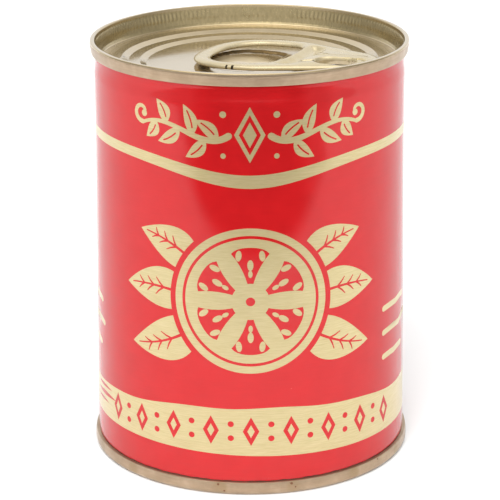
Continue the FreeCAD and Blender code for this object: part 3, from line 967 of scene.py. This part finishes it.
base = revolve("base_sheet", densify(base_path, 1.2), 300, [END, SEAM], base_shape,
               lambda p: 1 if p[0] > 25.4 else 0)
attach(base, "root")
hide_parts("base_end")

# ---------------------------------------------------------------- pull ring
T = 1.05
RC, RA, RB, RN = 2.08, 11.0, 10.62, 2.4
NTIP, NR, NY = 23.2, 5.75, -0.70


def oval_pt(c, a, b, p, t):
    ct, st = math.cos(t), math.sin(t)
    return np.array([c + a * math.copysign(abs(ct) ** (2 / p), ct),
                     b * math.copysign(abs(st) ** (2 / p), st)])


def resample(poly, n):
    p = np.vstack([poly, poly[:1]])
    s = np.concatenate([[0], np.cumsum(np.linalg.norm(np.diff(p, axis=0), axis=1))])
    q = np.linspace(0, s[-1], n, endpoint=False)
    return np.stack([np.interp(q, s, p[:, 0]), np.interp(q, s, p[:, 1])], 1)


def hull(points):
    pts = sorted(map(tuple, np.round(points, 6)))

    def half(seq):
        out = []
        for p in seq:
            while len(out) > 1 and ((out[-1][0] - out[-2][0]) * (p[1] - out[-2][1])
                                    - (out[-1][1] - out[-2][1]) * (p[0] - out[-2][0])) <= 0:
                out.pop()
            out.append(p)
        return out
    lower, upper = half(pts), half(pts[::-1])
    return np.array(lower[:-1] + upper[:-1])


ring_outline = hull(np.array(
    [oval_pt(RC, RA, RB, RN, TAU * k / 720) for k in range(720)]
    + [(NTIP - NR + NR * math.cos(TAU * k / 360), NY + NR * math.sin(TAU * k / 360)) for k in range(360)]))
ring_outline = resample(ring_outline, 260)
hole_pts = []
for k in range(720):
    t = TAU * k / 720
    hole_pts.append(oval_pt(0.7, 7.15, 8.0, 3.5, t) if math.cos(t) > 0
                    else oval_pt(0.7, 6.75, 8.0, 2.35, t))
ring_hole = resample(np.array(hole_pts), 200)
RVX, RVY = 17.0, 0.0
WINDOW = ((15.9, -3.45), (18.7, -3.4), 2.15)   # ends and radius of the opening over the rivet


def seg_dist(p, poly):
    """Distance of points to a closed polyline."""
    a = poly
    b = np.roll(poly, -1, 0)
    d = b - a
    l2 = (d ** 2).sum(1)
    best = np.full(len(p), 1e9)
    for i in range(len(a)):
        t = np.clip(((p - a[i]) @ d[i]) / l2[i], 0, 1)
        q = a[i] + t[:, None] * d[i]
        best = np.minimum(best, ((p - q) ** 2).sum(1))
    return np.sqrt(best)


def inside_poly(p, poly):
    x, y = p[:, 0], p[:, 1]
    ins = np.zeros(len(p), bool)
    for (x0, y0), (x1, y1) in zip(poly, np.roll(poly, -1, 0)):
        if y0 == y1:
            continue
        ins ^= ((y0 > y) != (y1 > y)) & (x < (x1 - x0) * (y - y0) / (y1 - y0) + x0)
    return ins


def capsule_sdf(p, a, b, r):
    a, b = np.array(a), np.array(b)
    d = b - a
    t = np.clip(((p - a) @ d) / (d @ d), 0, 1)
    return np.linalg.norm(p - (a + t[:, None] * d), axis=1) - r


SLOTS = [((13.5, -4.3), (12.2, -5.1), 0.15), ((20.45, -1.55), (21.7, -1.85), 0.10)]


def offset_loop(poly, d):
    """poly moved by d along its left normal."""
    t = np.roll(poly, -1, 0) - np.roll(poly, 1, 0)
    t /= np.linalg.norm(t, axis=1, keepdims=True)
    n = np.stack([-t[:, 1], t[:, 0]], 1)
    return poly + n * d


def orient(poly, ccw=True):
    a = 0.5 * np.sum(poly[:, 0] * np.roll(poly[:, 1], -1) - np.roll(poly[:, 0], -1) * poly[:, 1])
    return poly if (a > 0) == ccw else poly[::-1]


ring_outline = orient(ring_outline, True)
ring_hole = orient(ring_hole, False)


def fields(p):
    d_out = seg_dist(p, ring_outline) * np.where(inside_poly(p, ring_outline), 1, -1)
    d_hole = seg_dist(p, ring_hole) * np.where(inside_poly(p, ring_hole), -1, 1)
    d_win = capsule_sdf(p, *WINDOW)
    d_slot = np.min([capsule_sdf(p, *s) for s in SLOTS], 0)
    return d_out, d_hole, d_win, d_slot


LIP_D = [0.0, 0.04, 0.12, 0.30, 0.50, 1.00, 1.60, 2.20, 3.0]
LIP_TOP = [-0.24, -0.13, 0.0, 0.20, 0.33, 0.48, 0.63, 0.74, 1.5]


def ring_heights(p):
    d_out, d_hole, d_win, d_slot = fields(p)
    web = smooth01((p[:, 0] - 6.6) / 1.4)              # 0 on the loop, 1 on the web
    # curled edges: wide and round on the loop, tighter where the web meets the hole
    e_out = 1.30
    h_out = np.sqrt(np.clip(1 - (1 - np.clip(d_out / e_out, 0, 1)) ** 2, 0, 1))
    e_hole = 1.12 - 0.75 * web
    h_hole = np.sqrt(np.clip(1 - (1 - np.clip(d_hole / e_hole, 0, 1)) ** 2, 0, 1))
    h = np.minimum(h_out, h_hole) * T / 2
    top, bot = -T / 2 + h, -T / 2 - h
    # web: a rim along the outline, a valley beside the hole and a crest round the rivet opening
    rim = smooth01((2.9 - d_out) / 1.2)
    s = p[:, 0] - 7.85
    valley = -0.72 * np.sin(np.clip(s / 4.0, 0, 1) * math.pi) ** 1.2 * (s > 0)
    web_z = (valley - 0.10 * smooth01(s / 1.5)) * (1 - rim) * smooth01(d_out / 1.0)
    near = smooth01((3.5 - d_win) / 1.4)
    web_z = web_z * (1 - near) + 0.20 * near * smooth01((d_out - 0.6) / 1.6)
    web_z = web_z + 0.32 * np.exp(-((p[:, 0] - 12.7) ** 2 + (p[:, 1] - 1.1) ** 2) / 0.72)
    top = top + web_z * smooth01(np.minimum(d_hole, d_out) / 0.3)
    top = np.minimum(top, np.interp(d_win, LIP_D, LIP_TOP))
    top = np.minimum(top, np.interp(d_slot, [0, 0.05, 0.14, 0.30, 0.4], [-0.55, -0.25, -0.06, 0.12, 0.9]))
    bot = np.maximum(bot, np.interp(d_win, [0, 0.05, 0.12], [-0.28, -0.42, -T]))
    bot = np.maximum(bot, np.interp(d_slot, [0, 0.05, 0.14], [-0.55, -0.95, -T]))
    # the sheet is hollow under the crest and the valley follows through
    bot = np.minimum(bot, top - 0.06 * (np.minimum.reduce([d_out, d_hole, d_win, d_slot]) > 0.03))
    return top, bot, np.minimum.reduce([d_out, d_hole, d_win, d_slot])


def build_ring():
    pts, edges, seen = [], [], {}

    def add(p):
        key = (round(float(p[0]), 4), round(float(p[1]), 4))
        if key not in seen:
            seen[key] = len(pts)
            pts.append(Vector(key))
        return seen[key]

    def loop(poly):
        ids = [add(q) for q in poly]
        for a, b in zip(ids, ids[1:] + ids[:1]):
            if a != b:
                edges.append((a, b))

    for d in (0.0, 0.03, 0.10, 0.20, 0.34, 0.50, 0.70, 0.95, 1.25):
        loop(offset_loop(ring_outline, d))
        loop(offset_loop(ring_hole, d))
    for a, b, r in [WINDOW] + SLOTS:
        for d in ((0.0, 0.03, 0.08, 0.18, 0.30, 0.45, 0.7) if r > 1 else (0.0, 0.03, 0.08, 0.18)):
            a2, b2 = np.array(a), np.array(b)
            ang = math.atan2(b2[1] - a2[1], b2[0] - a2[0])
            t1 = np.linspace(ang - math.pi / 2, ang + math.pi / 2, 9)
            t2 = np.linspace(ang + math.pi / 2, ang + 3 * math.pi / 2, 9)
            poly = np.vstack([b2 + (r + d) * np.stack([np.cos(t1), np.sin(t1)], 1),
                              a2 + (r + d) * np.stack([np.cos(t2), np.sin(t2)], 1)])
            loop(resample(poly, 120 if r > 1 else 48))
    step = 0.30
    row = 0
    y = -11.0
    grid = []
    while y < 11.0:
        x = -9.2 + (step / 2 if row % 2 else 0)
        while x < 23.5:
            grid.append((x, y))
            x += step
        y += step * 0.866
        row += 1
    grid = np.array(grid)
    f = np.minimum.reduce(fields(grid))
    for p in grid[f > 0.12]:
        add(p)
    res = delaunay_2d_cdt(pts, edges, [], 0, 1e-5)
    v = np.array([(q.x, q.y) for q in res[0]])
    tris = np.array([t for t in res[2] if len(t) == 3])
    cen = v[tris].mean(1)
    tris = tris[np.minimum.reduce(fields(cen)) > 0]
    used = np.unique(tris)
    new = -np.ones(len(v), int)
    new[used] = np.arange(len(used))
    v, tris = v[used], new[tris]
    # border points are shared by the top and the bottom
    e = np.sort(np.vstack([tris[:, [0, 1]], tris[:, [1, 2]], tris[:, [2, 0]]]), 1)
    uniq, count = np.unique(e, axis=0, return_counts=True)
    border = np.zeros(len(v), bool)
    border[np.unique(uniq[count == 1])] = True
    top, bot, _ = ring_heights(v)
    mid = 0.5 * (top + bot)
    n = len(v)
    verts = [ring_world(x, y, (m if b else t)) for (x, y), t, m, b in zip(v, top, mid, border)]
    low = np.arange(n)
    k = n
    for i in range(n):
        if not border[i]:
            low[i] = k
            k += 1
            verts.append(ring_world(v[i, 0], v[i, 1], bot[i]))
    a, b, c = v[tris[:, 0]], v[tris[:, 1]], v[tris[:, 2]]
    ccw = np.cross(b - a, c - a) > 0
    tris = np.where(ccw[:, None], tris, tris[:, ::-1])
    faces = [tuple(int(i) for i in t) for t in tris]
    faces += [tuple(int(low[i]) for i in t[::-1]) for t in tris]
    return make_object("ring_curled", verts, faces, [RING, SHADE])


ring = build_ring()


def box_mesh(name, centre, half_size):
    """A box in the ring's own frame."""
    c = np.array(centre)
    v, f = [], []
    for sx in (-1, 1):
        for sy in (-1, 1):
            for sz in (-1, 1):
                q = c + np.array(half_size) * (sx, sy, sz)
                v.append(ring_world(*q))
    f = [(0, 1, 3, 2), (4, 6, 7, 5), (0, 4, 5, 1), (2, 3, 7, 6), (0, 2, 6, 4), (1, 5, 7, 3)]
    f = outward(v, f)
    # every face takes the near-black painted shade, which the cut leaves on the slit walls
    return make_object(name, v, f, [RING, SHADE], [1] * 6)


# two slits where the curled edge was snipped, on the near leg; their walls take the near-black painted
# shade
cutters = [box_mesh("snip_a", (0.75, -11.05, -0.3), (0.17, 0.85, 1.1)),
           box_mesh("snip_b", (1.85, -11.05, -0.3), (0.22, 0.85, 1.1))]
for cut in cutters:
    mod = ring.modifiers.new("snip", "BOOLEAN")
    mod.operation = "DIFFERENCE"
    mod.solver = "EXACT"
    mod.object = cut
bpy.context.view_layer.update()
dg = bpy.context.evaluated_depsgraph_get()
done = bpy.data.meshes.new_from_object(ring.evaluated_get(dg))
ring.modifiers.clear()
ring.data = done
for cut in cutters:
    bpy.data.objects.remove(cut)
ring.data.polygons.foreach_set("use_smooth", np.ones(len(ring.data.polygons), bool))
ring.data.set_sharp_from_angle(angle=math.radians(50))


# the tongue from the nose to the island under the rivet
def build_tongue():
    isl_low, isl_top = riv_lo.z / MM, riv_lo.z / MM + 0.45
    ch, sh = math.cos(HEADING), math.sin(HEADING)

    def place(x, y, z):
        yy = y + SIDE
        return (x * ch - yy * sh, x * sh + yy * ch, z)
    r = 2.8
    verts, faces = [], []
    n = 72
    rows = [(0.0, isl_top), (r - 0.12, isl_top), (r - 0.03, isl_top - 0.04), (r, isl_top - 0.12),
            (r, isl_low + 0.1), (r - 0.06, isl_low), (0.0, isl_low)]
    start = []
    for rr, z in rows:
        start.append(len(verts))
        if rr == 0:
            verts.append(place(RVX, 0, z))
        else:
            for k in range(n):
                t = TAU * k / n
                verts.append(place(RVX + rr * math.cos(t), rr * math.sin(t), z))
    for i in range(len(rows) - 1):
        for k in range(n):
            l = (k + 1) % n
            if rows[i][0] == 0:
                faces.append((start[i], start[i + 1] + k, start[i + 1] + l))
            elif rows[i + 1][0] == 0:
                faces.append((start[i] + l, start[i] + k, start[i + 1]))
            else:
                faces.append((start[i] + k, start[i + 1] + k, start[i + 1] + l, start[i] + l))
    faces = outward(verts, faces)
    island = make_object("island_sheet", verts, faces, [RING])
    # the strip that climbs to the nose
    xs = np.linspace(RVX + 1.9, 21.4, 14)
    v2, f2 = [], []
    for x in xs:
        t = smooth01(np.array([(x - RVX - 2.3) / 2.2]))[0]
        end = RING_Z + 21.4 * math.tan(TILT) - 0.45
        zt = isl_top - 0.03 + (end - isl_top) * t
        w = 1.55 + 0.25 * t
        for y, z in ((-w, zt - 0.08), (-w + 0.12, zt), (w - 0.12, zt), (w, zt - 0.08),
                     (w, zt - 0.34), (-w, zt - 0.34)):
            v2.append(place(x, y, z))
    m = 6
    for i in range(len(xs) - 1):
        for k in range(m):
            l = (k + 1) % m
            f2.append((i * m + k, i * m + l, (i + 1) * m + l, (i + 1) * m + k))
    f2.append(tuple(range(m)))
    f2.append(tuple((len(xs) - 1) * m + k for k in reversed(range(m))))
    f2 = outward(v2, f2)
    strip = make_object("tongue_strip", v2, f2, [RING])
    return island, strip


island, strip = build_tongue()
for piece in (ring, island, strip):
    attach(piece, "root")
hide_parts("pull_tab")
for piece in (island, strip):
    piece.data.set_sharp_from_angle(angle=math.radians(50))

# ---------------------------------------------------------------- rivet
riv_top = riv_hi.z / MM
head_r = (riv_hi.x - riv_lo.x) / 2 / MM
riv_path = rounded_path([
    (0.0, riv_top - 0.10, 0), (1.0, riv_top - 0.10, 0.3), (1.35, riv_top, 0.25),
    (head_r, riv_top, 0.14), (head_r, riv_top - 0.28, 0.0), (1.45, riv_top - 0.28, 0.0),
    (1.45, riv_lo.z / MM, 0.0), (0.0, riv_lo.z / MM, 0.0)], 5)
rivet = revolve("rivet_button", densify(riv_path, 0.4), 96, [BUTTON])
for v in rivet.data.vertices:
    v.co.x += RIV.x * MM
    v.co.y += RIV.y * MM
rivet.data.set_sharp_from_angle(angle=math.radians(60))
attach(rivet, "root")
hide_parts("rivet")

# ---------------------------------------------------------------- floor, light and camera
floor_me = bpy.data.meshes.new("floor")
floor_me.from_pydata([(-4, -4, 0), (4, -4, 0), (4, 4, 0), (-4, 4, 0)], [], [(0, 1, 2, 3)])
floor = bpy.data.objects.new("floor", floor_me)
scene.collection.objects.link(floor)
g = Graph("pale_floor")
floor_me.materials.append(g.set(Base_Color=(0.77, 0.77, 0.77), Roughness=0.9))

# a dark flag lies on the table in front of the tin, seen only in its gloss
flag_me = bpy.data.meshes.new("flag")
flag_me.from_pydata([(-1.5, -1.8, 0.0005), (1.5, -1.8, 0.0005), (1.5, -0.05, 0.0005),
                     (-1.5, -0.05, 0.0005)], [], [(0, 1, 2, 3)])
flag = bpy.data.objects.new("flag", flag_me)
scene.collection.objects.link(flag)
g = Graph("dark_flag")
fx, fy, fz = g.xyz(g.coords())
edge = g.math("SUBTRACT", fy, g.math("MULTIPLY", fx, 0.075))
cover = g.node("ShaderNodeMapRange", inputs={0: edge, 1: -0.170, 2: -0.141, 3: 1.0, 4: 0.0},
               interpolation_type="SMOOTHSTEP")
azimuth = g.math("ABSOLUTE", g.math("DIVIDE", fx, fy))
glow = g.node("ShaderNodeMapRange", inputs={0: azimuth, 1: 0.62, 2: 1.05, 3: 0.12, 4: 0.42},
              interpolation_type="SMOOTHSTEP")
wide = g.node("ShaderNodeMapRange", inputs={0: azimuth, 1: 1.1, 2: 2.3, 3: 0.0, 4: 0.40},
              interpolation_type="SMOOTHSTEP")
glow = g.math("ADD", glow, wide)
dark = g.node("ShaderNodeEmission", inputs={"Color": (1, 1, 1), "Strength": glow})
clear = g.node("ShaderNodeBsdfTransparent")
g.link(g.node("ShaderNodeMixShader", inputs={0: cover, 1: clear, 2: dark}), g.out.inputs["Surface"])
g.tree.nodes.remove(g.bsdf)
flag_me.materials.append(g.mat)
flag.visible_camera = False
flag.visible_diffuse = False
flag.visible_shadow = False
flag.visible_transmission = False

world = bpy.data.worlds.new("studio")
scene.world = world
world.use_nodes = True
wt = world.node_tree
wt.nodes.clear()
w_out = wt.nodes.new("ShaderNodeOutputWorld")
w_bg = wt.nodes.new("ShaderNodeBackground")
w_co = wt.nodes.new("ShaderNodeTexCoord")
w_sep = wt.nodes.new("ShaderNodeSeparateXYZ")
wt.links.new(w_co.outputs["Generated"], w_sep.inputs[0])


def world_map(socket, lo, hi, to_lo, to_hi):
    n = wt.nodes.new("ShaderNodeMapRange")
    n.interpolation_type = "SMOOTHSTEP"
    wt.links.new(socket, n.inputs[0])
    for i, v in zip((1, 2, 3, 4), (lo, hi, to_lo, to_hi)):
        n.inputs[i].default_value = v
    return n


# a bright wall behind, darker to the sides and the front, brighter overhead
w_back = world_map(w_sep.outputs["Y"], 0.30, 0.85, 0.0, 0.60)
w_side = world_map(w_sep.outputs["Y"], -0.75, -0.10, 0.64, 0.34)
w_top = world_map(w_sep.outputs["Z"], 0.82, 0.94, 0.0, 1.0)
w_add = wt.nodes.new("ShaderNodeMath")
wt.links.new(w_back.outputs[0], w_add.inputs[0])
wt.links.new(w_side.outputs[0], w_add.inputs[1])
w_mix = wt.nodes.new("ShaderNodeMix")
wt.links.new(w_top.outputs[0], w_mix.inputs[0])
wt.links.new(w_add.outputs[0], w_mix.inputs[2])
w_mix.inputs[3].default_value = 1.32
w_bg.inputs["Color"].default_value = (1, 1, 1, 1)
wt.links.new(w_mix.outputs[0], w_bg.inputs["Strength"])
wt.links.new(w_bg.outputs[0], w_out.inputs["Surface"])


def area(name, loc, target, size, power, size_y=None):
    data = bpy.data.lights.new(name, "AREA")
    data.energy = power
    data.size = size
    if size_y:
        data.shape = "RECTANGLE"
        data.size_y = size_y
    ob = bpy.data.objects.new(name, data)
    ob.location = loc
    ob.rotation_euler = (Vector(target) - Vector(loc)).to_track_quat("-Z", "Y").to_euler()
    scene.collection.objects.link(ob)
    return ob


area("top_box", (-0.25, 0.05, 1.0), (0, 0, 0.04), 1.0, 1.5, 0.8)
key_data = bpy.data.lights.new("key", "SUN")
key_data.energy = 4.4
key_data.angle = math.radians(50)
key = bpy.data.objects.new("key", key_data)
key.rotation_euler = (math.radians(48), 0.0, math.radians(-6))
key.visible_glossy = False
scene.collection.objects.link(key)

cam_data = bpy.data.cameras.new("camera")
cam_data.sensor_width = 36.0
cam_data.lens = 2178.0 / 500.0 * 36.0
cam_data.clip_start = 0.01
cam_data.clip_end = 50.0
cam = bpy.data.objects.new("camera", cam_data)
cam.location = (-0.00005, -0.35949, 0.15284)
cam.rotation_mode = "QUATERNION"
pitch = Vector((1, 0, 0))
from mathutils import Quaternion
cam.rotation_quaternion = (Quaternion((1, 0, 0), math.pi / 2 - 0.319)
                           @ Quaternion((0, 0, 1), -0.004))
scene.collection.objects.link(cam)
scene.camera = cam
